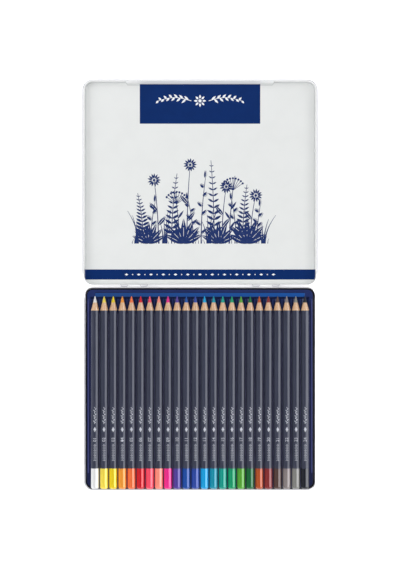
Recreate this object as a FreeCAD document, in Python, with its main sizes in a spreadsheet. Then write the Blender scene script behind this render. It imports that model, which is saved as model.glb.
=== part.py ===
import FreeCAD, Part
import os
import re
import Sketcher

# Watercolor pencil set: a hinged tinplate case, open flat, with a moulded tray and 24 pencils.
# Millimetres. The origin is the middle of the base's underside, +X to the right, +Y toward the hinge, +Z up.

# Driving sizes, each with what it measures
sizes = [
    ("pencil_count", 24, "pencils in the row"),
    ("pencil_length", 175, "casing and point together"),
    ("pencil_diameter", 7.4, "round lacquered barrel"),
    ("dip_film", 0.05, "thickness of the dipped colour over the lacquer"),
    ("dip_length", 18.7, "dipped stretch at the blunt end"),
    ("end_round", 1.8, "rounding of the blunt end"),
    ("end_skin", 0.6, "dip that closes the casing behind the core"),
    ("cone_length", 12.8, "sharpened stretch"),
    ("tip_radius", 0.35, "blunt tip of the core"),
    ("core_diameter", 3.6, "colour core"),
    ("glue_gap", 0.02, "glue line between core and casing"),
    ("pencil_gap", 0.8, "between neighbouring pencils"),
    ("groove_gap", 0.15, "between a pencil and its groove"),
    ("groove_lift", 4.6, "groove floor above the tin's floor"),
    ("ridge_rise", 2.1, "ridges and flange above the groove floor"),
    ("tray_gauge", 0.5, "wall of the moulded tray"),
    ("tray_gap", 0.3, "between the tray and the tin"),
    ("tray_round", 0.8, "rounded upper edge of the tray"),
    ("ridge_setback", 2.3, "ridges end this far before the pencil points"),
    ("bar_lap", 0.5, "pencil points reach this far over the bar"),
    ("bar_depth", 4.1, "bar under the points, front to back"),
    ("bar_rise", 0.4, "bar and side ribs above the flange"),
    ("bar_round", 0.3, "rounded top edges of the bar and ribs"),
    ("slot_drop", 0.6, "slot before the bar, below the groove floor"),
    ("rib_width", 2.2, "stiffening rib on each side margin"),
    ("rib_start", 14.2, "rib starts this far from the pencils' blunt ends"),
    ("sheet_gauge", 0.3, "tinplate"),
    ("side_room", 5.15, "between the outer pencils and the rim"),
    ("tip_room", 7.6, "between the pencil points and the rim"),
    ("butt_gap", 0.2, "between the blunt ends and the rim"),
    ("head_room", 1.15, "between the pencils and the closed lid"),
    ("corner_radius", 7.5, "corners of the base, seen from above"),
    ("base_edge_radius", 1.2, "rounded lower edge of the base"),
    ("hem_width", 0.9, "rolled rim of the base, turned inward"),
    ("hem_height", 1.0, "height of the rolled rim"),
    ("lap_height", 1.1, "lid wall over the base wall when closed"),
    ("lid_gap", 0.35, "between the lid wall and the base wall"),
    ("lid_edge_radius", 1.6, "rounded edge between lid panel and wall"),
    ("curl_out", 1.1, "rolled edge of the lid beyond its wall"),
    ("curl_height", 1.1, "height of the lid's rolled edge"),
    ("lip_width", 134, "sloped thumb lip in the lid's front wall"),
    ("lip_inset", 1.6, "foot of the thumb lip behind the wall"),
    ("rear_relief", 10, "rolled edge and stop bead end this far from the rear wall"),
    ("bead_out", 0.6, "stop bead beyond the base wall"),
    ("bead_height", 1.0, "height of the stop bead"),
    ("seat_gap", 0.1, "between the closed lid's edge and the stop bead"),
    ("catch_from_rear", 24, "catch dimples from the rear wall"),
    ("catch_length", 3.4, "catch dimple along the wall"),
    ("catch_depth", 0.8, "catch dimple into the lid's rolled edge"),
    ("catch_bump", 0.25, "catch bump out of the base wall"),
    ("hinge_offset", 1.25, "hinge axis behind the base wall"),
    ("hinge_spacing", 120, "between the two hinges"),
    ("edge_lift", 0.3, "lid edge above the hinge axis when closed"),
    ("knuckle_radius", 0.95, "outside of the rolled knuckles"),
    ("knuckle_length", 6, "each of the base's two knuckles"),
    ("tongue_length", 11.4, "the lid's middle knuckle"),
    ("knuckle_gap", 0.3, "between neighbouring knuckles"),
    ("swing_gap", 0.35, "lid wall round the base's knuckles"),
    ("leaf_gauge", 0.6, "hinge leaf on the rear wall"),
    ("leaf_height", 4.0, "hinge leaf below the axis"),
    ("pin_radius", 0.6, "hinge wire"),
    ("pin_gap", 0.05, "between the wire and its knuckles"),
    ("head_radius", 0.85, "peened ends of the wire"),
    ("head_length", 0.4, "length of each peened end"),
]

# Pencil colours, left to right
colours = [
    "white",
    "lemon",
    "yellow",
    "amber",
    "orange",
    "red",
    "rose",
    "salmon",
    "magenta",
    "violet",
    "blue",
    "ultramarine",
    "sky_blue",
    "turquoise",
    "teal",
    "emerald",
    "light_green",
    "dark_green",
    "rust",
    "dark_red",
    "brown",
    "warm_grey",
    "cold_grey",
    "black",
]

# Sizes that follow from the driving ones
dip_diameter = "(pencil_diameter + 2 * dip_film)"
groove_radius = f"({dip_diameter} / 2 + groove_gap)"
pencil_pitch = f"({dip_diameter} + pencil_gap)"
row_span = f"({pencil_pitch} * (pencil_count - 1))"
groove_floor = "(sheet_gauge + groove_lift)"
pencil_height = f"({groove_floor} + {groove_radius})"
tray_top = f"({groove_floor} + ridge_rise)"
tin_width = f"({row_span} + {dip_diameter} + 2 * (side_room + hem_width))"
tin_depth = "(pencil_length + butt_gap + tip_room + 2 * hem_width)"
closed_height = f"({pencil_height} + {dip_diameter} / 2 + head_room + sheet_gauge)"
hinge_height = f"({closed_height} / 2)"
hinge_place = f"({tin_depth} / 2 + hinge_offset)"
base_height = f"({hinge_height} + edge_lift + lap_height)"
lid_height = f"({closed_height} - {hinge_height} - edge_lift)"
lid_width = f"({tin_width} + 2 * (lid_gap + sheet_gauge))"
lid_depth = f"({tin_depth} + 2 * (lid_gap + sheet_gauge))"
lid_corner = "(corner_radius + lid_gap + sheet_gauge)"
lid_place = f"({tin_depth} + 2 * hinge_offset)"
pencil_start = f"(hem_width + butt_gap - {tin_depth} / 2)"
point_place = f"({pencil_start} + pencil_length)"
catch_place = f"({lid_depth} / 2 - catch_from_rear)"
bore_radius = "(pin_radius + pin_gap)"
tray_inset = "(max(hem_width; base_edge_radius) + tray_gap)"

# Shares of an edge that its rounding takes, under a half so that two roundings fit
hem_share = "0.4"
roll_share = "0.45"
slot_share = "0.25"
rib_share = "0.45"

# Shares of a wall or tip that its rounding takes
bar_share = "0.8"
tip_share = "0.6"

doc = FreeCAD.newDocument("watercolor_pencil_set")
sheet = doc.addObject("Spreadsheet::Sheet", "Sizes")
for row, (name, value, note) in enumerate(sizes, start=1):
    sheet.set(f"A{row}", name)
    sheet.set(f"B{row}", str(value))
    sheet.setAlias(f"B{row}", name)
    sheet.set(f"C{row}", note)
doc.recompute()

aliases = {name for name, value, note in sizes}
nodes = []


def formula(text):
    return re.sub(r"[a-z_]+", lambda word: "Sizes." + word[0] if word[0] in aliases else word[0], text)


def number(text):
    return float(sheet.evalExpression(text))


def bind(thing, **properties):
    for name, text in properties.items():
        thing.setExpression(name.replace("__", "."), formula(text))


def place(thing, x="0", y="0", z="0"):
    bind(thing, Placement__Base__x=x, Placement__Base__y=y, Placement__Base__z=z)


def sub_part(thing, label):
    thing.Label = label
    nodes.append(thing)
    return thing


# Sketches, each on an origin plane of its own body

def new_sketch(body, name, role, offset):
    sketch = body.newObject("Sketcher::SketchObject", name)
    plane = next(f for f in body.Origin.OriginFeatures if f.Role == role)
    sketch.AttachmentSupport = (plane, [""])
    sketch.MapMode = "FlatFace"
    for axis, text in zip("xyz", offset):
        bind(sketch, **{f"AttachmentOffset__Base__{axis}": text})
    return sketch


def dimension(sketch, name, text, kind, *where):
    index = sketch.addConstraint(Sketcher.Constraint(kind, *where, number(text)))
    sketch.renameConstraint(index, name)
    sketch.setExpression(f"Constraints.{name}", formula(text))


def rounded_rectangle(sketch, prefix, width, depth, radius):
    w = number(width) / 2
    d = number(depth) / 2
    r = number(radius)
    first = sketch.GeometryCount
    turns = [(w - r, r - d, 270), (w - r, d - r, 0), (r - w, d - r, 90), (r - w, r - d, 180)]
    ends = [(r - w, -d, w - r, -d), (w, r - d, w, d - r), (w - r, d, r - w, d), (-w, d - r, -w, r - d)]
    up = FreeCAD.Vector(0, 0, 1)
    for (x0, y0, x1, y1), (x, y, start) in zip(ends, turns):
        sketch.addGeometry(Part.LineSegment(FreeCAD.Vector(x0, y0, 0), FreeCAD.Vector(x1, y1, 0)), False)
        circle = Part.Circle(FreeCAD.Vector(x, y, 0), up, r)
        begin = FreeCAD.Units.Quantity(f"{start} deg").getValueAs("rad").Value
        finish = FreeCAD.Units.Quantity(f"{start + 90} deg").getValueAs("rad").Value
        sketch.addGeometry(Part.ArcOfCircle(circle, begin, finish), False)
    runs = [first, first + 2, first + 4, first + 6]
    bends = [first + 1, first + 3, first + 5, first + 7]
    for run, bend, after in zip(runs, bends, runs[1:] + runs[:1]):
        sketch.addConstraint(Sketcher.Constraint("Tangent", run, 2, bend, 1))
        sketch.addConstraint(Sketcher.Constraint("Tangent", bend, 2, after, 1))
    for run, way in zip(runs, ("Horizontal", "Vertical", "Horizontal", "Vertical")):
        sketch.addConstraint(Sketcher.Constraint(way, run))
    for bend in bends[1:]:
        sketch.addConstraint(Sketcher.Constraint("Equal", bends[0], bend))
    sketch.addConstraint(Sketcher.Constraint("Symmetric", bends[0], 3, bends[2], 3, -1, 1))
    dimension(sketch, f"{prefix}_width", width, "DistanceX", runs[3], 1, runs[1], 1)
    dimension(sketch, f"{prefix}_depth", depth, "DistanceY", runs[0], 1, runs[2], 1)
    dimension(sketch, f"{prefix}_radius", radius, "Radius", bends[0])


def outline(body, name, level, *rectangles, x="0", y="0"):
    sketch = new_sketch(body, name, "XY_Plane", (x, y, level))
    for index, (width, depth, radius) in enumerate(rectangles):
        rounded_rectangle(sketch, f"outline_{index}", width, depth, radius)
    return sketch


def polygon(body, name, role, offset, points):
    sketch = new_sketch(body, name, role, offset)
    spots = [FreeCAD.Vector(number(x), number(y), 0) for x, y in points]
    for here, there in zip(spots, spots[1:] + spots[:1]):
        sketch.addGeometry(Part.LineSegment(here, there), False)
    for index, (x, y) in enumerate(points):
        sketch.addConstraint(Sketcher.Constraint("Coincident", index, 2, (index + 1) % len(points), 1))
        for kind, text, axis in (("DistanceX", x, -2), ("DistanceY", y, -1)):
            if text == "0":
                sketch.addConstraint(Sketcher.Constraint("PointOnObject", index, 1, axis))
            else:
                dimension(sketch, f"{kind}_{index}", text, kind, -1, 1, index, 1)
    return sketch


# Features

def pad(body, name, sketch, length):
    feature = body.newObject("PartDesign::Pad", name)
    feature.Profile = sketch
    bind(feature, Length=length)
    doc.recompute()
    return feature


def pocket(body, name, sketch, length):
    before = body.Tip.Shape.Volume
    feature = body.newObject("PartDesign::Pocket", name)
    feature.Profile = sketch
    bind(feature, Length=length)
    doc.recompute()
    if not feature.Shape.Volume < before:
        raise RuntimeError(f"{name} cuts nothing")
    return feature


def row_of(body, name, original, axis, span, count):
    feature = body.newObject("PartDesign::LinearPattern", name)
    feature.Originals = [original]
    feature.Direction = (next(f for f in body.Origin.OriginFeatures if f.Role == axis), [""])
    bind(feature, Length=span, Occurrences=count)
    body.Tip = feature
    doc.recompute()
    return feature


def revolution(body, name, sketch):
    feature = body.newObject("PartDesign::Revolution", name)
    feature.Profile = sketch
    feature.ReferenceAxis = (sketch, ["V_Axis"])
    feature.Angle = 360
    doc.recompute()
    return feature


def fillet(body, name, radius, picked):
    base = body.Tip
    feature = body.newObject("PartDesign::Fillet", name)
    edges = enumerate(base.Shape.Edges, start=1)
    feature.Base = (base, [f"Edge{index}" for index, edge in edges if picked(edge.BoundBox)])
    bind(feature, Radius=radius)
    doc.recompute()
    return feature


def at_level(text):
    level = number(text)
    return lambda box: abs(box.ZMin - level) < 1e-4 and abs(box.ZMax - level) < 1e-4


def at_length(text):
    level = number(text)
    return lambda box: abs(box.YMin - level) < 1e-4 and abs(box.YMax - level) < 1e-4


# Part primitives and booleans

def block(name, x, y, z, length, width, height):
    box = doc.addObject("Part::Box", name)
    bind(box, Length=length, Width=width, Height=height)
    place(box, x, y, z)
    return box


def rod(name, x, y, z, radius, length):
    cylinder = doc.addObject("Part::Cylinder", name)
    cylinder.Placement.Rotation = FreeCAD.Rotation(FreeCAD.Vector(0, 1, 0), 90)
    bind(cylinder, Radius=radius, Height=length)
    place(cylinder, x, y, z)
    return cylinder


def flute(name, sign, face, out, length, y, z, height):
    radius = f"((({length}) / 2) ^ 2 + {out} ^ 2) / (2 * {out})"
    cylinder = doc.addObject("Part::Cylinder", name)
    bind(cylinder, Radius=radius, Height=height)
    place(cylinder, f"{sign}({face} + {out} - {radius})", y, z)
    return cylinder


def fuse(name, shapes):
    result = doc.addObject("Part::MultiFuse", name)
    result.Shapes = shapes
    result.Refine = True
    return result


def common(name, shapes):
    result = doc.addObject("Part::MultiCommon", name)
    result.Shapes = shapes
    return result


def cut(name, base, tool):
    result = doc.addObject("Part::Cut", name)
    result.Base = base
    result.Tool = tool
    result.Refine = True
    return result


def rolled_ring(name, width, depth, corner, out, level, height, rear, rear_y, y="0"):
    body = doc.addObject("PartDesign::Body", name)
    grown = (f"{width} + 2 * {out}", f"{depth} + 2 * {out}", f"{corner} + {out}")
    sunk = (f"{width} - sheet_gauge", f"{depth} - sheet_gauge", f"{corner} - sheet_gauge / 2")
    pad(body, f"{name}_pad", outline(body, f"{name}_outline", level, grown, sunk), height)
    half = number(f"{width} / 2 + {out}")
    top = number(f"{level} + {height}")
    low = number(level)

    def outer_edge(box):
        flat = abs(box.ZMax - box.ZMin) < 1e-4 and min(abs(box.ZMax - top), abs(box.ZMax - low)) < 1e-4
        front = max(abs(box.YMin), abs(box.YMax)) > number(f"{depth} / 2 + {out} / 2")
        return flat and (front or max(abs(box.XMin), abs(box.XMax)) > half - number(f"{out} / 2"))

    fillet(body, f"{name}_round", f"{roll_share} * min({height}; {out})", outer_edge)
    place(body, y=y)
    relief = block(f"{name}_relief", f"-{width}", rear_y, level, f"2 * {width}", rear, height)
    return cut(f"{name}_open", body, relief)


sides = [("left", "-"), ("right", "")]

# Hinge stations, left and right: x of the station's middle, and x of each base knuckle's left end
stations = [("left", "(-hinge_spacing / 2)"), ("right", "(hinge_spacing / 2)")]
tongue_half = "(tongue_length / 2)"
station_half = f"({tongue_half} + knuckle_gap + knuckle_length)"


def knuckle_starts(middle):
    return [f"({middle} - {station_half})", f"({middle} + {tongue_half} + knuckle_gap)"]


def hinge_bore(name, middle):
    start = f"{middle} - {station_half} - knuckle_gap"
    return rod(name, start, hinge_place, hinge_height, bore_radius, f"2 * ({station_half} + knuckle_gap)")


# Tin base: pressed pan with a rolled rim, stop bead, hinge leaves and catch bumps

def make_tin_base():
    body = doc.addObject("PartDesign::Body", "base_pan")
    base_sketch = outline(body, "base_outline", "0", (tin_width, tin_depth, "corner_radius"))
    pad(body, "base_block", base_sketch, base_height)
    mouth = (f"{tin_width} - 2 * hem_width", f"{tin_depth} - 2 * hem_width", "corner_radius - hem_width")
    mouth_sketch = outline(body, "mouth_outline", base_height, mouth)
    pocket(body, "base_mouth", mouth_sketch, "hem_height")
    walls = "2 * sheet_gauge"
    hollow = (f"{tin_width} - {walls}", f"{tin_depth} - {walls}", "corner_radius - sheet_gauge")
    hollow_sketch = outline(body, "hollow_outline", f"{base_height} - hem_height", hollow)
    pocket(body, "base_hollow", hollow_sketch, f"{base_height} - hem_height - sheet_gauge")
    fillet(body, "base_inner_edge", "base_edge_radius - sheet_gauge", at_level("sheet_gauge"))
    fillet(body, "base_edge", "base_edge_radius", at_level("0"))
    fillet(body, "rim_round", f"{hem_share} * min(hem_width; hem_height)", at_level(base_height))
    bead_level = f"({hinge_height} + edge_lift - seat_gap - bead_height)"
    bead_end = f"{tin_depth} / 2 - rear_relief"
    bead = rolled_ring(
        "stop_bead", tin_width, tin_depth, "corner_radius", "bead_out", bead_level, "bead_height",
        "2 * rear_relief", bead_end,
    )
    shapes = [body, bead]
    for side, middle in stations:
        for index, start in enumerate(knuckle_starts(middle)):
            name = f"{side}_{index}"
            axis = (start, hinge_place, hinge_height)
            shapes.append(rod(f"knuckle_{name}", *axis, "knuckle_radius", "knuckle_length"))
            corner = (start, f"({tin_depth} - sheet_gauge) / 2", f"{hinge_height} - leaf_height")
            extent = ("knuckle_length", "leaf_gauge + sheet_gauge / 2", "leaf_height")
            shapes.append(block(f"leaf_{name}", *corner, *extent))
    bump_z = f"{bead_level} + bead_height"
    bump_height = f"{base_height} - ({bump_z}) - hem_height / 2"
    bump_length = "catch_length - 2 * lid_gap"
    for side, sign in sides:
        face = f"{tin_width} / 2"
        spot = (catch_place, bump_z, bump_height)
        round_bump = flute(f"bump_{side}", sign, face, "catch_bump", bump_length, *spot)
        skin_width = "(sheet_gauge + catch_bump)"
        corner = (f"{sign}({face}) - {skin_width} / 2", f"{catch_place} - catch_length / 2", bump_z)
        skin = block(f"skin_{side}", *corner, skin_width, "catch_length", bump_height)
        shapes.append(common(f"catch_{side}", [round_bump, skin]))
    bores = fuse("base_bores", [hinge_bore(f"base_bore_{side}", middle) for side, middle in stations])
    return sub_part(cut("tin_base_cut", fuse("tin_base_body", shapes), bores), "tin_base")


# Tin lid, lying open: its panel on the table, its hinge side toward -Y

def lid_form(name, shrink, level):
    body = doc.addObject("PartDesign::Body", name)
    rectangle = (f"{lid_width} - 2 * {shrink}", f"{lid_depth} - 2 * {shrink}", f"{lid_corner} - {shrink}")
    pad(body, f"{name}_block", outline(body, f"{name}_outline", level, rectangle), lid_height)
    fillet(body, f"{name}_edge", f"lid_edge_radius - {shrink}", at_level(level))
    front = f"({lid_depth} / 2 - {shrink})"
    top = f"({lid_height} - curl_height)"
    corners = [
        (f"{front} - lip_inset", "0"),
        (f"{front} + lip_inset", "0"),
        (f"{front} + lip_inset", top),
        (front, top),
    ]
    side = f"lip_width / 2 + {shrink}"
    wedge = polygon(body, f"{name}_wedge", "YZ_Plane", ("0", "0", side), corners)
    pocket(body, f"{name}_lip", wedge, f"2 * ({side})")
    place(body, y=lid_place)
    return body


def make_tin_lid():
    outside = lid_form("lid_outside", "0", "0")
    shell = cut("lid_shell", outside, lid_form("lid_inside", "sheet_gauge", "sheet_gauge"))
    rear = f"({lid_place} - {lid_depth} / 2)"
    curl_level = f"({lid_height} - curl_height)"
    curl = rolled_ring(
        "lid_curl", lid_width, lid_depth, lid_corner, "curl_out", curl_level, "curl_height",
        "2 * rear_relief", f"{rear} - rear_relief", y=lid_place,
    )
    shapes = [shell, curl]
    tools = []
    for side, middle in stations:
        start = f"{middle} - {tongue_half}"
        axis = (start, hinge_place, hinge_height)
        shapes.append(rod(f"tongue_{side}", *axis, "knuckle_radius", "tongue_length"))
        web_height = "(edge_lift + knuckle_radius)"
        corner = (start, rear, f"{hinge_height} - {web_height}")
        shapes.append(block(f"web_{side}", *corner, "tongue_length", "sheet_gauge", web_height))
        tools.append(hinge_bore(f"lid_bore_{side}", middle))
        for index, knuckle in enumerate(knuckle_starts(middle)):
            notch_level = f"{hinge_height} - knuckle_radius - swing_gap"
            outer_room = "(pin_gap + head_length + knuckle_gap)"
            notch_length = f"knuckle_length + knuckle_gap + {outer_room}"
            notch_x = f"{knuckle} - {outer_room if index == 0 else 'knuckle_gap'}"
            notch_y = f"{rear} - swing_gap"
            notch_width = "sheet_gauge + 2 * swing_gap"
            notch_height = "knuckle_radius + swing_gap"
            name = f"notch_{side}_{index}"
            tools.append(block(name, notch_x, notch_y, notch_level, notch_length, notch_width, notch_height))
    for side, sign in sides:
        face = f"{lid_width} / 2 - sheet_gauge"
        y = f"{lid_place} - {catch_place}"
        z = f"{curl_level} + sheet_gauge"
        tools.append(flute(f"dimple_{side}", sign, face, "catch_depth", "catch_length", y, z, "curl_height"))
    return sub_part(cut("tin_lid_cut", fuse("tin_lid_body", shapes), fuse("lid_tools", tools)), "tin_lid")


# Hinge wires with peened ends

def make_hinge_pins():
    for side, middle in stations:
        start = f"({middle} - {station_half} - pin_gap)"
        length = f"(2 * ({station_half} + pin_gap))"
        wire = rod(f"wire_{side}", start, hinge_place, hinge_height, "pin_radius", length)
        ends = [
            rod(f"head_{side}_{index}", x, hinge_place, hinge_height, "head_radius", "head_length")
            for index, x in enumerate((f"{start} - head_length", f"{start} + {length}"))
        ]
        sub_part(fuse(f"pin_{side}", [wire, *ends]), f"hinge_pin_{side}")


# Moulded tray: one thin sheet with a groove for each pencil, standing on the tin's floor

def tray_form(name, shrink):
    body = doc.addObject("PartDesign::Body", name)
    inset = f"({tray_inset} + {shrink})"
    rectangle = (f"{tin_width} - 2 * {inset}", f"{tin_depth} - 2 * {inset}", f"corner_radius - {inset}")
    top = f"({tray_top} - {shrink})"
    block_sketch = outline(body, f"{name}_outline", "sheet_gauge", rectangle)
    pad(body, f"{name}_block", block_sketch, f"{top} - sheet_gauge")
    fillet(body, f"{name}_edge", f"tray_round - {shrink}", at_level(top))
    groove = new_sketch(body, f"{name}_groove_circle", "XZ_Plane", ("0", "0", f"{tin_depth} / 2"))
    first = FreeCAD.Vector(-number(f"{row_span} / 2"), number(pencil_height), 0)
    radius = f"{groove_radius} + {shrink}"
    groove.addGeometry(Part.Circle(first, FreeCAD.Vector(0, 0, 1), number(radius)), False)
    dimension(groove, "first_groove", f"{row_span} / 2", "DistanceX", 0, 3, -1, 1)
    dimension(groove, "groove_height", pencil_height, "DistanceY", -1, 1, 0, 3)
    dimension(groove, "groove_size", radius, "Radius", 0)
    run = f"{tin_depth} / 2 + {point_place} - ridge_setback + bar_lap + {shrink}"
    cutter = pocket(body, f"{name}_groove", groove, run)
    row_of(body, f"{name}_grooves", cutter, "X_Axis", row_span, "pencil_count")
    slot_depth = "(ridge_setback - bar_lap)"
    slot_y = f"{point_place} - bar_lap - {slot_depth} / 2"
    slot_width = f"{pencil_pitch} * pencil_count + 2 * {shrink}"
    slot = (slot_width, f"{slot_depth} + 2 * {shrink}", f"{slot_share} * {slot_depth}")
    slot_floor = f"({groove_floor} - slot_drop - {shrink})"
    slot_sketch = outline(body, f"{name}_slot_outline", tray_top, slot, y=slot_y)
    pocket(body, f"{name}_slot", slot_sketch, f"{tray_top} - {slot_floor}")
    return body


def add_tray_relief(body):
    bar_y = f"{point_place} - bar_lap + bar_depth / 2"
    bar_shape = (row_span, "bar_depth", f"{slot_share} * bar_depth")
    bar = outline(body, "bar_outline", tray_top, bar_shape, y=bar_y)
    pad(body, "tip_bar", bar, "bar_rise")
    rib_length = "(pencil_length - ridge_setback - rib_start)"
    rib_y = f"{pencil_start} + rib_start + {rib_length} / 2"
    rib_x = f"({row_span} / 2 + {groove_radius} + {tin_width} / 2 - {tray_inset}) / 2"
    for side, sign in sides:
        shape = ("rib_width", rib_length, f"{rib_share} * rib_width")
        rib = outline(body, f"rib_outline_{side}", tray_top, shape, x=f"{sign}{rib_x}", y=rib_y)
        pad(body, f"rib_{side}", rib, "bar_rise")
    bar_fillet = f"min(bar_round; {bar_share} * bar_rise)"
    fillet(body, "bar_and_rib_round", bar_fillet, at_level(f"{tray_top} + bar_rise"))


def make_pencil_tray():
    outside = tray_form("tray_outside", "0")
    add_tray_relief(outside)
    return sub_part(cut("tray_sheet", outside, tray_form("tray_inside", "tray_gauge")), "pencil_tray")


# Pencils: a lacquered wood casing with a dipped end, and the colour core glued into it

def taper(radius):
    return f"(pencil_length - cone_length * ({radius} - tip_radius) / (pencil_diameter / 2 - tip_radius))"


def make_pencil(index, colour):
    x = f"{index} * {pencil_pitch} - {row_span} / 2"
    bore = "(core_diameter / 2 + glue_gap)"
    casing = doc.addObject("PartDesign::Body", f"{colour}_casing")
    section = [
        ("0", "0"),
        (f"{dip_diameter} / 2", "0"),
        (f"{dip_diameter} / 2", "dip_length"),
        ("pencil_diameter / 2", "dip_length"),
        ("pencil_diameter / 2", "pencil_length - cone_length"),
        (bore, taper(bore)),
        (bore, "end_skin"),
        ("0", "end_skin"),
    ]
    profile = polygon(casing, f"{colour}_casing_section", "XY_Plane", ("0", "0", "0"), section)
    revolution(casing, f"{colour}_casing_turned", profile)
    fillet(casing, f"{colour}_casing_end", "end_round", at_length("0"))
    core = doc.addObject("PartDesign::Body", f"{colour}_core")
    stick = [
        ("0", "end_skin + glue_gap"),
        ("core_diameter / 2", "end_skin + glue_gap"),
        ("core_diameter / 2", taper("core_diameter / 2")),
        ("tip_radius", "pencil_length"),
        ("0", "pencil_length"),
    ]
    core_profile = polygon(core, f"{colour}_core_section", "XY_Plane", ("0", "0", "0"), stick)
    revolution(core, f"{colour}_core_turned", core_profile)
    fillet(core, f"{colour}_core_tip", f"{tip_share} * tip_radius", at_length("pencil_length"))
    for body, piece in ((casing, "casing"), (core, "core")):
        place(body, x, pencil_start, pencil_height)
        sub_part(body, f"{colour}_pencil_{piece}")


make_tin_base()
make_tin_lid()
make_hinge_pins()
make_pencil_tray()
for index, colour in enumerate(colours):
    make_pencil(index, colour)
doc.recompute()

failed = [thing.Name for thing in doc.Objects if {"Invalid", "Error"} & set(thing.State)]
if failed:
    raise RuntimeError(f"failed: {failed}")
for node in nodes:
    if node.Shape.isNull() or not node.Shape.isValid() or len(node.Shape.Solids) != 1:
        raise RuntimeError(f"{node.Label} is not one sound solid")

os.makedirs("parts", exist_ok=True)
for node in nodes:
    node.Shape.exportStep(f"parts/{node.Label}.step")
    print(node.Label, round(node.Shape.Volume, 1))
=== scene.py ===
import math
import random
import bmesh
import bpy
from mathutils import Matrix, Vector
from mathutils.geometry import delaunay_2d_cdt


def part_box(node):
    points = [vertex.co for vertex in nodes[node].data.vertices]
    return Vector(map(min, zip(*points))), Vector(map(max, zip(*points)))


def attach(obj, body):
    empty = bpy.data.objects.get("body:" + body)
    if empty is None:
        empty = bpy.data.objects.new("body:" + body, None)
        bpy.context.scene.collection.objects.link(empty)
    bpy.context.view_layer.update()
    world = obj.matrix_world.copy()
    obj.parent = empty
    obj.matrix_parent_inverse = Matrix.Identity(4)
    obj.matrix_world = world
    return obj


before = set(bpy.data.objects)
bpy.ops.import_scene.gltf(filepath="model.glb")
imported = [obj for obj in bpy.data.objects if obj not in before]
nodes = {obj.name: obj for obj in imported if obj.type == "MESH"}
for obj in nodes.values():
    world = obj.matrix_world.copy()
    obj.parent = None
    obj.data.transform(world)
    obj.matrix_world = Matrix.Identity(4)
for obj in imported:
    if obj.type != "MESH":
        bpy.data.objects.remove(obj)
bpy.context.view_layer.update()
mm = 0.001
print("frame loaded,", len(nodes), "nodes")


# sums on sockets read as Python, each operator adds a Math node
class Wire:
    def __init__(self, finish, socket):
        self.finish = finish
        self.socket = socket

    def __add__(self, other):
        return self.finish.sum("ADD", self, other)

    def __radd__(self, other):
        return self.finish.sum("ADD", other, self)

    def __sub__(self, other):
        return self.finish.sum("SUBTRACT", self, other)

    def __rsub__(self, other):
        return self.finish.sum("SUBTRACT", other, self)

    def __mul__(self, other):
        return self.finish.sum("MULTIPLY", self, other)

    def __rmul__(self, other):
        return self.finish.sum("MULTIPLY", other, self)

    def __abs__(self):
        return self.finish.sum("ABSOLUTE", self)


# the nodes of one material or world, with the place of each point as spot
class Finish:
    def __init__(self, owner, place="Object"):
        self.owner = owner
        owner.use_nodes = True
        self.tree = owner.node_tree
        self.tree.nodes.clear()
        self.spot = self.node("ShaderNodeTexCoord", out=place)

    # any node: its type, settings first, then its sockets, and the output that is wanted
    def node(self, kind, settings=None, sockets=None, out=0):
        made = self.tree.nodes.new(kind)
        for name, value in (settings or {}).items():
            setattr(made, name, value)
        for name, value in (sockets or {}).items():
            if isinstance(value, Wire):
                self.tree.links.new(value.socket, made.inputs[name])
            else:
                made.inputs[name].default_value = value
        return Wire(self, made.outputs[out]) if len(made.outputs) else made

    def sum(self, operation, *values):
        return self.node("ShaderNodeMath", {"operation": operation}, dict(enumerate(values)))

    def least(self, a, b):
        return self.sum("MINIMUM", a, b)

    def most(self, a, b):
        return self.sum("MAXIMUM", a, b)

    def fifth(self, value):  # fifth power, which keeps the sign
        square = value * value
        return square * square * value

    def split(self, vector):
        parts = self.node("ShaderNodeSeparateXYZ", None, {0: vector})
        return [Wire(self, socket) for socket in parts.socket.node.outputs]

    # 0 below low, 1 above high, smooth between
    def step(self, value, low, high):
        sockets = {"Value": value, "From Min": low, "From Max": high, "To Min": 0.0, "To Max": 1.0}
        return self.node("ShaderNodeMapRange", {"interpolation_type": "SMOOTHSTEP"}, sockets)

    # 1 past the place, with a soft edge
    def above(self, value, place, edge):
        return self.step(value, place - edge, place + edge)

    # 1 within half of the middle, with a soft edge
    def band(self, value, middle, half, edge):
        return 1 - self.above(abs(value - middle), half, edge)

    # noise with its own grain per metre along each axis
    def noise(self, grain, detail):
        stretched = self.node("ShaderNodeVectorMath", {"operation": "MULTIPLY"}, {0: self.spot, 1: grain})
        return self.node("ShaderNodeTexNoise", None, {"Vector": stretched, "Scale": 1.0, "Detail": detail})

    # distance out of a rounded rectangle, less than 0 inside it
    def beyond(self, x, y, half, corner):
        sideX = abs(x) - (half[0] - corner)
        sideY = abs(y) - (half[1] - corner)
        outX = self.most(sideX, 0.0)
        outY = self.most(sideY, 0.0)
        within = self.least(self.most(sideX, sideY), 0.0)
        return self.sum("SQRT", outX * outX + outY * outY) + within - corner

    def mix(self, factor, a, b):
        return self.node("ShaderNodeMix", {"data_type": "RGBA"}, {0: factor, 6: a, 7: b}, out=2)

    def bump(self, height, depth, strength):
        sockets = {"Height": height, "Distance": depth, "Strength": strength}
        return self.node("ShaderNodeBump", None, sockets, out="Normal")

    def surface(self, sockets):
        shader = self.node("ShaderNodeBsdfPrincipled", None, sockets)
        self.node("ShaderNodeOutputMaterial", None, {"Surface": shader})
        return self.owner


def newFinish(name):
    return Finish(bpy.data.materials.new(name))


def linear(value):  # one screen value 0 to 255 as light
    return value / 255 / 12.92 if value <= 10 else ((value / 255 + 0.055) / 1.055) ** 2.4


def ink(*screen):
    return tuple(linear(value) for value in screen) + (1.0,)


def dress(node, material):
    slots = nodes[node].data.materials
    slots.clear()
    slots.append(material)


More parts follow.
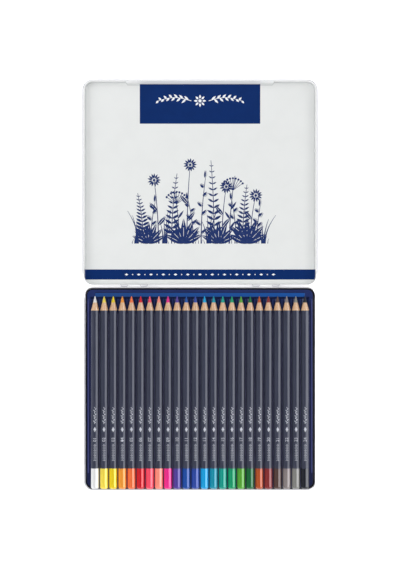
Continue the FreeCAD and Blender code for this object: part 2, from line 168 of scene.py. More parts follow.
# tin base: bare bright tinplate
baseLook = dict(
    tin=ink(240, 241, 244), dull=ink(210, 212, 216), ramp=(0.35, 0.95),
    streakGrain=(40, 3200, 3200), smudgeGrain=(35, 35, 35), flakes=1100.0,
    streakShare=0.6, flakeShare=0.12, smudgeShare=0.15,
    rough=0.26, streakRough=0.1, smudgeRough=0.04, depth=0.004 * mm, relief=0.5,
)


def tinplate():
    look = baseLook
    f = newFinish("brightTinplate")
    streak = f.noise(look["streakGrain"], 3.0)
    smudge = f.noise(look["smudgeGrain"], 3.0)
    cells = f.node("ShaderNodeTexVoronoi", None, {"Vector": f.spot, "Scale": look["flakes"]}, out="Color")
    flake = f.split(cells)[0]
    mottle = streak * look["streakShare"] + flake * look["flakeShare"] + smudge * look["smudgeShare"]
    return f.surface({
        "Base Color": f.mix(f.step(mottle, *look["ramp"]), look["tin"], look["dull"]),
        "Metallic": 1.0,
        "Roughness": look["rough"] + streak * look["streakRough"] + smudge * look["smudgeRough"],
        "Normal": f.bump(streak, look["depth"], look["relief"]),
    })


dress("tin_base", tinplate())

# hinge wires: drawn steel
wireLook = dict(
    steel=ink(206, 208, 212), dark=ink(150, 152, 158), ramp=(0.35, 0.75), lineGrain=(60, 9000, 9000),
    rough=0.22, lineRough=0.2, depth=0.003 * mm, relief=0.5,
)


def hingeWire():
    look = wireLook
    f = newFinish("drawnHingeWire")
    line = f.noise(look["lineGrain"], 2.0)
    return f.surface({
        "Base Color": f.mix(f.step(line, *look["ramp"]), look["steel"], look["dark"]),
        "Metallic": 1.0,
        "Roughness": look["rough"] + line * look["lineRough"],
        "Normal": f.bump(line, look["depth"], look["relief"]),
    })


wireFinish = hingeWire()
dress("hinge_pin_left", wireFinish)
dress("hinge_pin_right", wireFinish)

# lid: white enamel inside with a blue panel and stripe, blue lacquer outside with a thin silver frame line
# names that end in Along hold a middle and a half width
lidLook = dict(
    # the walls and rims get a lighter white than the floor of the lid, as painted light
    enamel=ink(229, 231, 230), shade=ink(227, 229, 228), wall=ink(247, 248, 248),
    # the crease grey on the next line is painted shade where the walls rise
    paintedCreaseShade=ink(186, 189, 190), blue=ink(12, 44, 102), deepBlue=ink(11, 42, 98),
    outside=ink(34, 44, 84), outsideDark=ink(32, 42, 81), silver=ink(205, 208, 214),
    cloudGrain=(55, 55, 55), peelGrain=(1400, 1400, 1400), blueGrain=(90, 90, 90), ramp=(0.35, 0.7),
    rough=0.16, cloudRough=0.02, peelRough=0.03, sheen=0.25, depth=0.002 * mm, relief=0.4, edge=0.06 * mm,
    middle=187.1 * mm, floorHalf=(104.6 * mm, 92.1 * mm), floorCorner=6.5 * mm,
    wallFrom=(0.7 * mm, 2.2 * mm), wallTop=5.7 * mm, hollowRise=0.25, facing=(-0.005, 0.005),
    panelHalf=55.1 * mm, panelAlong=(259.7 * mm, 18.1 * mm),
    stripeAlong=(103.7 * mm, 4.65 * mm), stripeTop=(0.9 * mm, 1.1 * mm),
    creaseHalf=0.35 * mm, creaseEdge=0.35 * mm, creaseShadeDepth=0.8, creaseLeast=0.35,
    creaseFull=(96.0 * mm, 112.0 * mm), lipHalf=67.0 * mm, lipReach=80.0 * mm, lipEase=1.0 * mm,
    lipInset=2.2 * mm, lipPull=0.2, lipFrom=(0.9, 0.95),
    knuckleAlong=(60.0 * mm, 5.8 * mm), knuckleTo=94.5 * mm, knuckleFrom=5.9 * mm,
    frameSize=(96.0 * mm, 83.0 * mm), frameCorner=6.0 * mm, frameHalf=0.45 * mm, frameEdge=0.05 * mm,
    frameFace=(0.02 * mm, 0.06 * mm),
)


# 1 on faces that look into the lid's hollow, 0 on faces that look away from it, each by its nearest wall
def innerFaces(f, x, y, z):
    look = lidLook
    shareX = x * (1 / look["floorHalf"][0])
    shareY = (y - look["middle"]) * (1 / look["floorHalf"][1])
    # the ends of the thumb lip turn the other way
    lipEnds = f.band(x, 0.0, look["lipReach"], look["lipEase"]) * f.step(shareY, *look["lipFrom"])
    across = lipEnds * shareX * look["lipPull"] - f.fifth(shareX) * (1 - lipEnds)
    pull = {0: across, 1: f.fifth(shareY) * -1, 2: look["hollowRise"]}
    vectors = {0: f.node("ShaderNodeCombineXYZ", None, pull), 1: f.node("ShaderNodeTexCoord", out="Normal")}
    toward = f.node("ShaderNodeVectorMath", {"operation": "DOT_PRODUCT"}, vectors, out="Value")
    # the rolled knuckles show the inside's white
    behind = 1 - f.above(y, look["knuckleTo"], look["edge"])
    raised = f.above(z, look["knuckleFrom"], look["edge"])
    knuckle = f.band(abs(x), *look["knuckleAlong"], look["edge"]) * behind * raised
    return f.most(f.step(toward, *look["facing"]), knuckle)


def lidEnamel():
    look = lidLook
    edge = look["edge"]
    f = newFinish("lidEnamel")
    x, y, z = f.split(f.spot)
    along = y - look["middle"]
    inside = innerFaces(f, x, y, z)
    cloud = f.noise(look["cloudGrain"], 3.0)
    peel = f.noise(look["peelGrain"], 1.0)
    cloudy = f.step(cloud, *look["ramp"])
    # above the floor the enamel is painted lighter on the walls and rims, as painted light
    wall = f.step(z, *look["wallFrom"])
    # painted shade: a fine grey line where the walls rise, set in a little along the thumb lip
    toLip = f.step(y, look["middle"], look["panelAlong"][0])
    lip = f.band(x, 0.0, look["lipHalf"], look["lipEase"]) * toLip
    inset = f.beyond(x, along + lip * look["lipInset"], look["floorHalf"], look["floorCorner"])
    fade = look["creaseLeast"] + f.step(y, *look["creaseFull"]) * (1 - look["creaseLeast"])
    creaseShade = f.band(inset, 0.0, look["creaseHalf"], look["creaseEdge"]) * fade * look["creaseShadeDepth"]
    white = f.mix(wall, f.mix(cloudy, look["enamel"], look["shade"]), look["wall"])
    white = f.mix(creaseShade * (1 - wall), white, look["paintedCreaseShade"])
    # blue panel and stripe
    panel = f.band(x, 0.0, look["panelHalf"], edge) * f.band(y, *look["panelAlong"], edge)
    stripe = f.band(y, *look["stripeAlong"], edge) * (1 - f.step(z, *look["stripeTop"]))
    printed = f.most(panel, stripe) * (1 - f.above(z, look["wallTop"], edge))
    blue = f.mix(f.step(f.noise(look["blueGrain"], 4.0), *look["ramp"]), look["blue"], look["deepBlue"])
    inner = f.mix(printed, white, blue)
    # silver line round the outside
    away = f.beyond(x, along, look["frameSize"], look["frameCorner"])
    line = f.band(away, 0.0, look["frameHalf"], look["frameEdge"]) * (1 - f.step(z, *look["frameFace"]))
    outer = f.mix(line, f.mix(cloudy, look["outside"], look["outsideDark"]), look["silver"])
    return f.surface({
        "Base Color": f.mix(inside, outer, inner),
        "Roughness": look["rough"] + cloud * look["cloudRough"] + peel * look["peelRough"],
        "Metallic": line * (1 - inside),
        "Specular IOR Level": look["sheen"],
        "Normal": f.bump(peel, look["depth"], look["relief"]),
    })


dress("tin_lid", lidEnamel())

# tray: satin indigo plastic; the bar under the points is painted a clearer blue as painted light, darker to
# the left as painted shade and lighter to the right as painted light
trayLook = dict(
    # the rib colour is a painted highlight, and the margin colour also paints shade behind the bar
    indigo=ink(34, 48, 99), deep=ink(29, 43, 92), margin=ink(24, 32, 74), rib=ink(64, 70, 124),
    # the pale lilac is a painted highlight on the ridge tops, the near black a painted shadow round the
    # edge, and the two bar blues are painted shade on the left and painted light on the right
    crestHighlight=ink(140, 143, 186), dark=ink(6, 9, 28), barShadeLeft=ink(32, 68, 127), barLightRight=ink(24, 78, 152),
    cloudGrain=(70, 25, 70), skinGrain=(2600, 2600, 2600), highlightGrain=(600, 200, 600), ramp=(0.3, 0.7),
    highlightLeast=0.6, rough=0.18, skinRough=0.12, sheen=0.3, depth=0.003 * mm, relief=0.4, edge=0.1 * mm,
    marginFrom=99.4 * mm, marginTo=(76.0 * mm, 84.0 * mm),
    raisedFrom=7.1 * mm, ribAlong=(101.6 * mm, 0.6 * mm),
    barHalf=95.6 * mm, barAlong=(84.975 * mm, 1.925 * mm), barEdgeShadeAlong=(87.4 * mm, 0.5 * mm),
    crestFrom=6.92 * mm, crestTo=(66.0 * mm, 71.0 * mm),
    outline=(103.75 * mm, 90.8 * mm), outlineCorner=6.0 * mm, edgeShadeWide=1.1 * mm,
    skirtTop=(6.0 * mm, 6.4 * mm),
)


def trayPlastic():
    look = trayLook
    edge = look["edge"]
    f = newFinish("trayPlastic")
    x, y, z = f.split(f.spot)
    cloud = f.noise(look["cloudGrain"], 3.0)
    skin = f.noise(look["skinGrain"], 2.0)
    raised = f.above(z, look["raisedFrom"], edge / 2)
    aside = f.above(abs(x), look["marginFrom"], edge) * (1 - f.step(y, *look["marginTo"]))
    across = f.band(x, 0.0, look["barHalf"], edge)
    bar = f.band(y, *look["barAlong"], edge) * across * raised
    # painted shade along the rear edge of the bar, in the margin colour
    barEdgeShade = f.band(y, *look["barEdgeShadeAlong"], edge) * across
    # painted highlight along the top of each side rib
    rib = f.band(abs(x), *look["ribAlong"], edge) * raised
    # painted shadow along the tray's outer edge, in the near black
    inset = f.beyond(x, y, look["outline"], look["outlineCorner"]) + look["edgeShadeWide"]
    rim = f.above(inset, 0.0, edge) * f.step(z, *look["skirtTop"])
    # painted highlight on the tops of the ridges between the grooves, patchy, fading out towards the points
    crest = f.step(z, look["crestFrom"] - edge, look["crestFrom"]) * (1 - f.step(y, *look["crestTo"]))
    highlightPatch = look["highlightLeast"] + f.noise(look["highlightGrain"], 3.0) * (1 - look["highlightLeast"])
    plain = f.mix(f.step(cloud, *look["ramp"]), look["indigo"], look["deep"])
    sides = f.mix(f.most(aside, barEdgeShade), plain, f.mix(rib, look["margin"], look["rib"]))
    shadedAndLit = f.mix(crest * (1 - aside) * highlightPatch, f.mix(rim, sides, look["dark"]), look["crestHighlight"])
    # the bar's blue is painted darker to the left and lighter to the right, painted shade and painted light
    barLitBlue = f.mix(f.step(x, -look["barHalf"], look["barHalf"]), look["barShadeLeft"], look["barLightRight"])
    return f.surface({
        "Base Color": f.mix(bar, shadedAndLit, barLitBlue),
        "Roughness": look["rough"] + skin * look["skinRough"],
        "Specular IOR Level": look["sheen"],
        "Normal": f.bump(skin, look["depth"], look["relief"]),
    })


dress("pencil_tray", trayPlastic())

# pencils: slate lacquer, bare cedar cone, dipped end and core in the pencil's own colour
pencilColours = dict(
    white=(216, 216, 217), lemon=(232, 208, 72), yellow=(226, 198, 20), amber=(230, 145, 45),
    orange=(232, 108, 55), red=(198, 10, 30), rose=(238, 70, 96), salmon=(240, 138, 120),
    magenta=(226, 32, 134), violet=(74, 56, 146),
    blue=(8, 68, 152), ultramarine=(34, 64, 152), sky_blue=(0, 152, 210), turquoise=(0, 136, 160),
    teal=(0, 146, 130), emerald=(0, 146, 98), light_green=(80, 155, 42), dark_green=(2, 97, 46),
    rust=(172, 74, 26), dark_red=(128, 36, 36), brown=(78, 56, 50), warm_grey=(130, 120, 120),
    cold_grey=(124, 124, 120), black=(18, 21, 32),
)
casingLook = dict(
    lacquer=ink(57, 60, 77), lacquerDeep=ink(53, 56, 72), lacquerRamp=(0.3, 0.7),
    wood=ink(213, 177, 140), woodDark=ink(188, 144, 108), woodRamp=(0.36, 0.68),
    gleam=(0.88, 0.91, 1.0, 1.0), grainShare=0.7, poreShare=0.3,
    cloudGrain=(300, 40, 300), woodGrain=(2600, 130, 2600), poreGrain=(5200, 700, 5200),
    rough=0.09, cloudRough=0.04, dipRough=-0.04, coneRough=0.2,
    dipLift=1.14, dipMetal=0.15, dipCoat=0.6, coatRough=0.04,
    depth=0.02 * mm, relief=0.6, poreRelief=0.5, cloudRelief=0.05,
    edge=0.04 * mm, dipEnd=-72.5 * mm, coneFrom=71.0 * mm, radius=3.7 * mm, height=8.8 * mm,
)
coreLook = dict(
    paler=0.06, darker=0.9, ramp=(0.38, 0.66), streakGrain=(3000, 160, 3000), speckGrain=(4200, 4200, 4200),
    streakShare=0.6, speckShare=0.4, rough=0.42, speckRough=0.2, sheen=0.2,
    depth=0.012 * mm, relief=0.6, speckRelief=0.4,
)


def casingFinish(name, colour):
    look = casingLook
    f = newFinish(f"{name}PencilCasing")
    y = f.split(f.spot)[1]
    dip = 1 - f.above(y, look["dipEnd"], look["edge"])
    cone = f.above(y, look["coneFrom"], look["edge"])
    cloud = f.noise(look["cloudGrain"], 2.0)
    grain = f.noise(look["woodGrain"], 3.0)
    pore = f.noise(look["poreGrain"], 2.0)
    figure = grain * look["grainShare"] + pore * look["poreShare"]
    wood = f.mix(f.step(figure, *look["woodRamp"]), look["wood"], look["woodDark"])
    lacquer = f.mix(f.step(cloud, *look["lacquerRamp"]), look["lacquer"], look["lacquerDeep"])
    glossPaint = tuple(min(v * look["dipLift"], 1.0) for v in ink(*colour))
    rough = look["rough"] + cloud * look["cloudRough"] + dip * look["dipRough"] + cone * look["coneRough"]
    height = (grain + pore * look["poreRelief"]) * cone + cloud * look["cloudRelief"]
    return f.surface({
        "Base Color": f.mix(cone, f.mix(dip, lacquer, glossPaint), wood),
        "Roughness": rough,
        "Normal": f.bump(height, look["depth"], look["relief"]),
        "Metallic": dip * look["dipMetal"],
        "Coat Weight": dip * look["dipCoat"],
        "Coat Roughness": look["coatRough"],
        "Specular Tint": look["gleam"],
    })


def coreFinish(name, colour):
    look = coreLook
    f = newFinish(f"{name}PencilCore")
    pale = ink(*(v + (255 - v) * look["paler"] for v in colour))
    dark = ink(*(v * look["darker"] for v in colour))
    streak = f.noise(look["streakGrain"], 3.0)
    speck = f.noise(look["speckGrain"], 2.0)
    mottle = streak * look["streakShare"] + speck * look["speckShare"]
    return f.surface({
        "Base Color": f.mix(f.step(mottle, *look["ramp"]), pale, dark),
        "Roughness": look["rough"] + speck * look["speckRough"],
        "Specular IOR Level": look["sheen"],
        "Normal": f.bump(streak + speck * look["speckRelief"], look["depth"], look["relief"]),
    })


for name, colour in pencilColours.items():
    dress(f"{name}_pencil_casing", casingFinish(name, colour))
    dress(f"{name}_pencil_core", coreFinish(name, colour))
print("finishes made for", len(pencilColours), "pencils, tray, lid, base and hinge wires")

# flat shapes in millimetres, for the prints
# weld is the finest detail of a print, exact that of the sum of its shapes, swell where a leaf is widest
inkLook = dict(weld=0.004, exact=1e-5, repeat=1e-6, swell=0.85)


# the point at a length along a heading from the root, and out to its left
def beside(root, heading, ahead, out=0.0):
    c = math.cos(heading)
    s = math.sin(heading)
    return (root[0] + c * ahead - s * out, root[1] + s * ahead + c * out)


def swell(t):  # half width of a leaf along its length, 0 at both ends
    return math.sin(math.pi * t ** inkLook["swell"])


def ribbon(points, width, tail=1.0):
    left, right = [], []
    last = len(points) - 1
    for index, (x, y) in enumerate(points):
        x0, y0 = points[max(index - 1, 0)]
        x1, y1 = points[min(index + 1, last)]
        run = math.hypot(x1 - x0, y1 - y0)
        half = width / 2 * (1 + (tail - 1) * index / last)
        left.append((x - (y1 - y0) / run * half, y + (x1 - x0) / run * half))
        right.append((x + (y1 - y0) / run * half, y - (x1 - x0) / run * half))
    return [[left[i], left[i + 1], right[i + 1], right[i]] for i in range(last)]


def petal(root, heading, length, width, steps=7):
    rim = []
    for side in (1, -1):
        for index in range(steps + 1):
            t = index / steps if side == 1 else 1 - index / steps
            rim.append(beside(root, heading, length * t, side * width / 2 * swell(t)))
    return [[p for i, p in enumerate(rim) if math.dist(p, rim[i - 1]) > inkLook["repeat"]]]


def disc(middle, radius, sides=12):
    return [[beside(middle, 2 * math.pi * i / sides, radius) for i in range(sides)]]


def lozenge(x, y, halfLong, halfWide):
    return [[(x - halfLong, y), (x, y + halfWide), (x + halfLong, y), (x, y - halfWide)]]


def faceUp(shape):  # points run anticlockwise, so that every print faces outward
    area = sum(shape[i - 1][0] * y - x * shape[i - 1][1] for i, (x, y) in enumerate(shape))
    return shape if area > 0 else shape[::-1]


# shapes that meet in one point are drawn a little apart there
def partPoints(bm):
    for v in bm.verts[:]:
        rim = [edge for edge in v.link_edges if edge.is_boundary]
        if len(rim) > 2:
            for part in bmesh.utils.vert_separate(v, rim):
                centres = [face.calc_center_median() for face in part.link_faces]
                middle = sum(centres, Vector()) / len(centres)
                part.co += (middle - part.co).normalized() * inkLook["weld"]


# overlapping shapes become one flat sheet of ink, then lie on the surface that carries them
def inkMesh(name, shapes, lay, cuts=()):
    weld = inkLook["weld"]
    corners, rims = [], []
    for shape in shapes:
        rims.append(list(range(len(corners), len(corners) + len(shape))))
        corners += [Vector(point) for point in faceUp(shape)]
    spots, _, faces, _, _, sources = delaunay_2d_cdt(corners, [], rims, 1, inkLook["exact"])
    bm = bmesh.new()
    verts = [bm.verts.new((spot.x, spot.y, 0)) for spot in spots]
    for face, source in zip(faces, sources):
        if source:
            bm.faces.new([verts[i] for i in face])
    bmesh.ops.delete(bm, geom=[v for v in verts if not v.link_faces], context="VERTS")
    for cut in cuts:
        geometry = bm.verts[:] + bm.edges[:] + bm.faces[:]
        bmesh.ops.bisect_plane(bm, geom=geometry, dist=weld, plane_co=(0, cut, 0), plane_no=(0, 1, 0))
    bmesh.ops.remove_doubles(bm, verts=bm.verts[:], dist=weld)
    bmesh.ops.triangulate(bm, faces=bm.faces[:])
    partPoints(bm)
    for v in bm.verts:
        v.co = lay(v.co.x, v.co.y)
    bm.normal_update()
    mesh = bpy.data.meshes.new(name)
    bm.to_mesh(mesh)
    bm.free()
    piece = bpy.data.objects.new(name, mesh)
    bpy.context.scene.collection.objects.link(piece)
    return piece


def thicken(piece, depth):
    solid = piece.modifiers.new("inkDepth", "SOLIDIFY")
    solid.thickness = depth
    solid.offset = -1.0


def digits(number, size, steps=4):
    font = bpy.data.curves.new("numberShape", "FONT")
    font.body = number
    font.size = size
    font.align_x = "CENTER"
    font.align_y = "CENTER"
    font.resolution_u = steps
    holder = bpy.data.objects.new("numberShape", font)
    mesh = bpy.data.meshes.new_from_object(holder)
    points = [(v.co.x, v.co.y) for v in mesh.vertices]
    shapes = [[points[i] for i in face.vertices] for face in mesh.polygons]
    bpy.data.objects.remove(holder)
    bpy.data.curves.remove(font)
    bpy.data.meshes.remove(mesh)
    return shapes


# silver print on the barrels: a vine, a lozenge, the pencil's number and a row of ticks
barrelLook = dict(
    silver=ink(204, 207, 216), silverDull=ink(168, 171, 182), ramp=(0.4, 0.7), speckGrain=(3500, 900, 3500),
    metal=0.2, rough=0.34, speckRough=0.2, lift=0.012 * mm, depth=0.03 * mm, middle=-41.0,
    vine=(9.0, 24.0), vineSteps=24, vineWave=0.45, vineLine=(0.3, 0.6),
    leafTurn=0.8, leafSize=(1.9, 0.6, 0.75), lozenge=(4.0, 2.4, 1.25), number=(-5.2, 4.0),
    ticks=(-24.0, -9.5, 14), tickWide=0.34, tickTall=(2.3, 1.3), cutApart=0.4, cutsEachSide=5,
)


def silverFoil():
    look = barrelLook
    f = newFinish("silverFoil")
    speck = f.noise(look["speckGrain"], 3.0)
    return f.surface({
        "Base Color": f.mix(f.step(speck, *look["ramp"]), look["silver"], look["silverDull"]),
        "Metallic": look["metal"],
        "Roughness": look["rough"] + speck * look["speckRough"],
    })


def barrelShapes(number):
    look = barrelLook
    start, end = look["vine"]
    count = look["vineSteps"]
    rise = look["vineWave"]
    wave = [(start + (end - start) * i / count, rise * math.sin(i * math.pi / 4)) for i in range(count + 1)]
    shapes = ribbon(wave, *look["vineLine"])
    leafLong, leafLess, leafWide = look["leafSize"]
    for i in range(1, count, 2):
        side = 1 if (i // 2) % 2 else -1
        shapes += petal(wave[i], side * look["leafTurn"], leafLong - leafLess * i / count, leafWide, 4)
    place, halfLong, halfWide = look["lozenge"]
    shapes += lozenge(place, 0, halfLong, halfWide)
    spot, size = look["number"]
    shapes += [[(x + spot, y) for x, y in shape] for shape in digits(number, size)]
    first, last, ticks = look["ticks"]
    for i in range(ticks):
        x = first + (last - first) * i / (ticks - 1)
        half = look["tickTall"][i % 2] / 2
        shapes += ribbon([(x, -half), (x, half)], look["tickWide"])
    return shapes


def barrelPrint(name, number, finish):
    look = barrelLook
    low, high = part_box(f"{name}_pencil_casing")
    centre = (low.x + high.x) / 2
    around = casingLook["radius"] + look["lift"]

    def onBarrel(x, y):
        angle = -y * mm / casingLook["radius"]
        rise = casingLook["height"] + around * math.cos(angle)
        return Vector((centre + around * math.sin(angle), (look["middle"] + x) * mm, rise))

    # cuts along the barrel let the print bend round it
    cuts = [i * look["cutApart"] for i in range(-look["cutsEachSide"], look["cutsEachSide"] + 1)]
    piece = inkMesh(f"{name}_pencil_print", barrelShapes(number), onBarrel, cuts)
    piece.data.materials.append(finish)
    thicken(piece, look["depth"])
    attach(piece, f"{name}_pencil")


foil = silverFoil()
for order, name in enumerate(pencilColours, start=1):
    barrelPrint(name, f"{order:02d}", foil)
print("barrel prints made")

# lid prints: a meadow in blue, a sprig and dots in white
printLook = dict(
    blue=ink(10, 40, 98), white=ink(236, 239, 243), fade=(0.86, 0.02), ramp=(0.45, 0.75),
    fleckGrain=(900, 900, 900), rough=0.34, fleckRough=0.14, sheen=0.25, face=0.3, lift=0.03, depth=0.04,
)
# each stem: its place, height, bend and kind
meadowLook = dict(
    ground=132.0, seed=11, stemLine=(0.95, 0.5),
    strokes=46, strokeReach=62.0, strokeRise=(3.0, 5.0), strokeBend=2.5, strokeLine=(0.6, 0.2),
    stems=[
        (-58, 30, -6, "grass"), (-52, 46, -5, "fern"), (-45, 38, 4, "sprig"), (-38, 58, -4, "daisy"),
        (-32, 34, 3, "grass"), (-26, 64, 5, "fern"), (-19, 46, -4, "seed"), (-12, 72, 3, "daisy"),
        (-6, 40, -5, "sprig"), (1, 60, 4, "sprig"), (8, 36, 5, "grass"), (13, 76, -3, "fern"),
        (20, 52, 4, "daisy"), (27, 62, 5, "seed"), (33, 40, -4, "sprig"), (39, 54, 4, "fern"),
        (46, 44, 5, "daisy"), (52, 34, 3, "sprig"), (58, 26, 6, "grass"),
        (-47, 20, 0, "rosette"), (-15, 23, 0, "rosette"), (17, 21, 0, "rosette"), (43, 24, 0, "rosette"),
    ],
)
upright = math.pi / 2


def stemLine(x, height, bend, steps=14):
    ground = meadowLook["ground"]
    return [(x + bend * (i / steps) ** 2, ground + height * i / steps) for i in range(steps + 1)]


def splitLeaf(root, heading, length, width, vein=0.4, steps=9):
    shapes = []
    for side in (1, -1):
        rim = []
        for i in range(steps + 1):
            t = i / steps
            rim.append(beside(root, heading, length * t, side * (vein + width * swell(t)) / 2))
        shapes.append(rim)
    return shapes


# a leaf with one side full and the other drawn in veins
veinLook = dict(
    fullAside=0.28, fullWide=0.52, veins=6, veinReach=0.5, veinWide=0.11, veinTail=0.6,
    middleWide=0.12, middleTail=0.5,
)


def veinedLeaf(root, heading, length, width):
    look = veinLook
    start = beside(root, heading, 0, width * look["fullAside"])
    shapes = petal(start, heading, length, width * look["fullWide"])
    for i in range(1, look["veins"]):
        t = i / look["veins"]
        tip = beside(root, heading, length * t, -width * look["veinReach"] * swell(t))
        vein = [beside(root, heading, length * t), tip]
        shapes += ribbon(vein, width * look["veinWide"], look["veinTail"])
    middle = [beside(root, heading, length * t) for t in (0, 0.5, 1)]
    return shapes + ribbon(middle, width * look["middleWide"], look["middleTail"])


grassLook = dict(blades=4, apart=1.5, leanFrom=1.2, lean=0.9, tall=(0.6, 0.13), line=(1.4, 0.2))


def grass(x, height, bend):
    look = grassLook
    shapes = []
    for k in range(look["blades"]):
        tall = height * (look["tall"][0] + look["tall"][1] * k)
        lean = bend * (k - look["leanFrom"]) * look["lean"]
        shapes += ribbon(stemLine(x + k - look["apart"], tall, lean), *look["line"])
    return shapes


fernLook = dict(joints=range(2, 14), size=9.0, sizeEnd=15, sizeLeast=1.2, turn=1.05, wide=0.32)


def fern(line):
    look = fernLook
    shapes = []
    for i in look["joints"]:
        size = look["size"] * (1 - i / look["sizeEnd"]) + look["sizeLeast"]
        for side in (1, -1):
            shapes += petal(line[i], upright - side * look["turn"], size, size * look["wide"])
    return shapes


sprigLook = dict(
    joints=range(2, 14, 2), turn=(0.75, 0.2), length=8.5, lengthLess=0.3, wide=3.6,
    topTurn=-0.02, topSize=(7.0, 3.0),
)


def sprig(line, bend, chance):
    look = sprigLook
    shapes = []
    for i in look["joints"]:
        side = 1 if i % 4 else -1
        heading = upright - side * (look["turn"][0] + chance.random() * look["turn"][1])
        shapes += veinedLeaf(line[i], heading, look["length"] - i * look["lengthLess"], look["wide"])
    return shapes + veinedLeaf(line[-1], upright + bend * look["topTurn"], *look["topSize"])


# leaves by the joint of the stem that they grow from: 1 to the right, -1 to the left
daisyLook = dict(
    petals=13, uneven=0.1, ring=1.6, petal=(4.6, 1.6), heart=1.25,
    leaves={4: 1, 7: -1}, leafTurn=0.7, leaf=(11.0, 3.0),
)


def daisy(line, chance):
    look = daisyLook
    shapes = []
    for k in range(look["petals"]):
        turn = 2 * math.pi * k / look["petals"] + chance.random() * look["uneven"]
        shapes += petal(beside(line[-1], turn, look["ring"]), turn, *look["petal"])
    shapes += disc(line[-1], look["heart"])
    for i, side in look["leaves"].items():
        shapes += splitLeaf(line[i], upright - side * look["leafTurn"], *look["leaf"])
    return shapes


seedLook = dict(
    joint=11, rays=9, fan=0.24, reach=11, rayWide=0.45, head=1.0,
    leaves={3: 1, 5: -1, 7: 1}, leafTurn=0.6, leaf=(9.0, 2.0),
)


def seedHead(line):
    look = seedLook
    root = line[look["joint"]]
    shapes = []
    for k in range(look["rays"]):
        tip = beside(root, upright + (k - look["rays"] // 2) * look["fan"], look["reach"])
        shapes += ribbon([root, tip], look["rayWide"]) + disc(tip, look["head"])
    for i, side in look["leaves"].items():
        shapes += petal(line[i], upright - side * look["leafTurn"], *look["leaf"])
    return shapes


rosetteLook = dict(leaves=7, first=0.14, fan=0.12, length=(0.7, 0.3), wide=0.22)


def rosette(line, height):
    look = rosetteLook
    shapes = []
    for k in range(look["leaves"]):
        turn = math.pi * (look["first"] + look["fan"] * k)
        length = height * (look["length"][0] + look["length"][1] * math.sin(turn))
        shapes += splitLeaf(line[0], turn, length, height * look["wide"])
    return shapes


def plant(x, height, bend, kind, chance):
    line = stemLine(x, height, bend)
    if kind == "grass":
        return grass(x, height, bend)
    if kind == "rosette":
        return rosette(line, height)
    shapes = ribbon(line, *meadowLook["stemLine"])
    if kind == "fern":
        return shapes + fern(line)
    if kind == "sprig":
        return shapes + sprig(line, bend, chance)
    if kind == "daisy":
        return shapes + daisy(line, chance)
    return shapes + seedHead(line)


def meadow():
    look = meadowLook
    chance = random.Random(look["seed"])
    shapes = []
    for stem in look["stems"]:
        shapes += plant(*stem, chance)
    for k in range(look["strokes"]):  # short strokes for the ground
        x = look["strokeReach"] * (2 * k / (look["strokes"] - 1) - 1)
        rise = look["strokeRise"][0] + chance.random() * look["strokeRise"][1]
        bend = chance.uniform(-look["strokeBend"], look["strokeBend"])
        shapes += ribbon(stemLine(x, rise, bend, 4), *look["strokeLine"])
    return shapes


# white on blue: a flower between two leafy stalks on the panel, lozenges and dots along the stripe
whiteLook = dict(
    flower=(0.0, 262.5), heart=1.5, petals=8, ring=2.1, petal=(3.6, 1.9),
    stalkFrom=8, stalkLong=30, stalkRise=3.0, stalkSteps=12, stalkLine=(0.6, 0.5),
    leafTurn=0.75, leafLong=5.6, leafLess=0.2, leafWide=1.9,
    marks=25, markApart=5.6, stripe=103.7, dot=0.55, lozenge=(1.7, 1.0),
)


def whiteShapes():
    look = whiteLook
    middle = look["flower"][1]
    shapes = disc(look["flower"], look["heart"])
    for k in range(look["petals"]):
        turn = 2 * math.pi * k / look["petals"]
        shapes += petal(beside(look["flower"], turn, look["ring"]), turn, *look["petal"])
    for side in (1, -1):
        stalk = []
        for i in range(look["stalkSteps"] + 1):
            t = i / look["stalkSteps"]
            out = look["stalkFrom"] + look["stalkLong"] * t
            stalk.append((side * out, middle + look["stalkRise"] * math.sin(t * math.pi)))
        shapes += ribbon(stalk, *look["stalkLine"])
        for i in range(1, look["stalkSteps"] + 1):
            lean = look["leafTurn"] if i % 2 else -look["leafTurn"]
            heading = lean if side == 1 else math.pi - lean
            shapes += petal(stalk[i], heading, look["leafLong"] - i * look["leafLess"], look["leafWide"])
    for k in range(look["marks"]):
        x = (k - look["marks"] // 2) * look["markApart"]
        if k % 2:
            shapes += disc((x, look["stripe"]), look["dot"])
        else:
            shapes += lozenge(x, look["stripe"], *look["lozenge"])
    return shapes


def printInk(name, colour):
    look = printLook
    f = newFinish(name)
    fleck = f.noise(look["fleckGrain"], 4.0)
    faded = tuple(v * look["fade"][0] + look["fade"][1] for v in colour[:3]) + (1.0,)
    return f.surface({
        "Base Color": f.mix(f.step(fleck, *look["ramp"]), colour, faded),
        "Roughness": look["rough"] + fleck * look["fleckRough"],
        "Specular IOR Level": look["sheen"],
    })


def onLid(x, y):
    return Vector((x * mm, y * mm, (printLook["face"] + printLook["lift"]) * mm))


def lidPrint(name, shapes, finish):
    piece = inkMesh(name, shapes, onLid)
    piece.data.materials.append(finish)
    thicken(piece, printLook["depth"] * mm)
    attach(piece, "lid")


lidPrint("lid_meadow_print", meadow(), printInk("meadowInk", printLook["blue"]))
lidPrint("lid_white_print", whiteShapes(), printInk("whiteInk", printLook["white"]))
print("lid prints made")

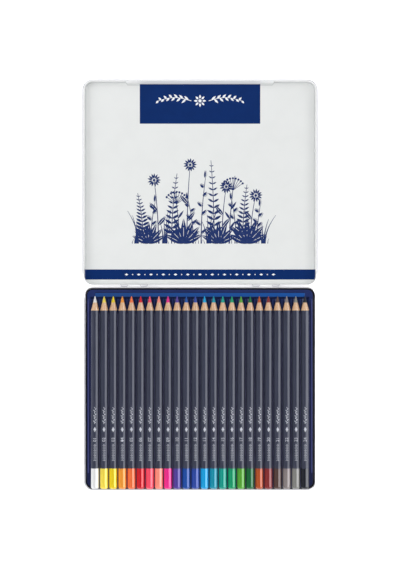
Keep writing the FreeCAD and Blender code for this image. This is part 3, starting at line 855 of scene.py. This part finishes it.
# studio: pale floor, softboxes that show in the gloss, fills that light the matt colours, a pale room
studioLook = dict(
    wall=(0.79, 0.79, 0.795, 1.0), leftWall=(0.32, 0.32, 0.33, 1.0), leftFrom=(-0.6, -0.1),
    overhead=(0.05, 0.05, 0.052, 1.0), ceiling=(0.24, 0.86), squeeze=8.0, aim=(0.0, 0.06, 0.0),
    lamps=[  # name, azimuth from +X, tilt from straight up, reach, size, radiance, matt, gloss
        ("rightSoftbox", -7, 56, 2.2, (3.0, 1.0), 3.1, False, True),
        ("rightFill", -7, 56, 2.2, (3.0, 1.0), 1.2, True, False),
        ("leftFill", 187, 56, 2.2, (3.0, 1.0), 1.5, True, False),
        ("rightStrip", 0, 26, 2.3, (0.16, 1.8), 2.0, True, True),
        ("keySoftbox", 118, 48, 2.4, (1.2, 0.9), 3.4, False, True),
        ("keyFill", 186, 48, 2.4, (1.2, 0.9), 3.4, True, False),
        ("pointSoftbox", 34, 56, 2.4, (0.9, 0.7), 14.0, False, True),
        ("pointFill", 34, 56, 2.4, (0.9, 0.7), 6.0, True, False),
    ],
)


def lamp(name, azimuth, tilt, reach, size, radiance, matt, gloss):
    light = bpy.data.lights.new(name, "AREA")
    light.shape = "RECTANGLE"
    light.size, light.size_y = size
    light.energy = radiance * math.pi * size[0] * size[1]
    holder = bpy.data.objects.new(name, light)
    holder.visible_diffuse = matt
    holder.visible_glossy = gloss
    turn = math.radians(tilt)
    heading = math.radians(azimuth)
    out = Vector((math.sin(turn) * math.cos(heading), math.sin(turn) * math.sin(heading), math.cos(turn)))
    holder.rotation_euler = (0, turn, heading)
    holder.location = Vector(studioLook["aim"]) + reach * out
    bpy.context.scene.collection.objects.link(holder)


for setting in studioLook["lamps"]:
    lamp(*setting)


# dark straight overhead, narrow along Y, and a darker wall to the left
def studioRoom():
    look = studioLook
    f = Finish(bpy.data.worlds.new("studioRoom"), "Generated")
    x, y, _ = f.split(f.spot)
    away = f.sum("SQRT", x * x + y * y * look["squeeze"])
    wall = f.mix(f.step(x + abs(y), *look["leftFrom"]), look["leftWall"], look["wall"])
    shade = f.mix(f.step(away, *look["ceiling"]), look["overhead"], wall)
    background = f.node("ShaderNodeBackground", None, {"Color": shade})
    f.node("ShaderNodeOutputWorld", None, {"Surface": background})
    return f.owner


bpy.context.scene.world = studioRoom()
bpy.context.scene.view_settings.view_transform = "Standard"

floorLook = dict(
    pale=ink(250, 250, 250), dull=ink(247, 247, 247), grain=(3, 3, 3), rough=0.9, glow=0.66,
    half=12.0, drop=0.05 * mm,
)


def paleFloor():
    look = floorLook
    f = newFinish("paleFloor")
    return f.surface({
        "Base Color": f.mix(f.noise(look["grain"], 2.0), look["pale"], look["dull"]),
        "Roughness": look["rough"],
        "Emission Color": (1.0, 1.0, 1.0, 1.0),
        "Emission Strength": look["glow"],
    })


floorMesh = bpy.data.meshes.new("studioFloor")
half = floorLook["half"]
floorCorners = [(-half, -half, 0), (half, -half, 0), (half, half, 0), (-half, half, 0)]
floorMesh.from_pydata(floorCorners, [], [(0, 1, 2, 3)])
floor = bpy.data.objects.new("studioFloor", floorMesh)
floor.data.materials.append(paleFloor())
bpy.context.scene.collection.objects.link(floor)
floor.location.z = -floorLook["drop"]

# camera: straight down, image up is +Y
cameraLook = dict(middle=(0.0, 94.1 * mm), plane=6.7 * mm, reach=1.5, imageHeight=519.1 * mm, sensor=36.0)
eye = bpy.data.cameras.new("overhead")
eye.sensor_width = cameraLook["sensor"]  # of the long side, which is the image's height
eye.lens = cameraLook["sensor"] * cameraLook["reach"] / cameraLook["imageHeight"]
camera = bpy.data.objects.new("overhead", eye)
camera.location = (*cameraLook["middle"], cameraLook["plane"] + cameraLook["reach"])
bpy.context.scene.collection.objects.link(camera)
bpy.context.scene.camera = camera
print("studio and camera set")
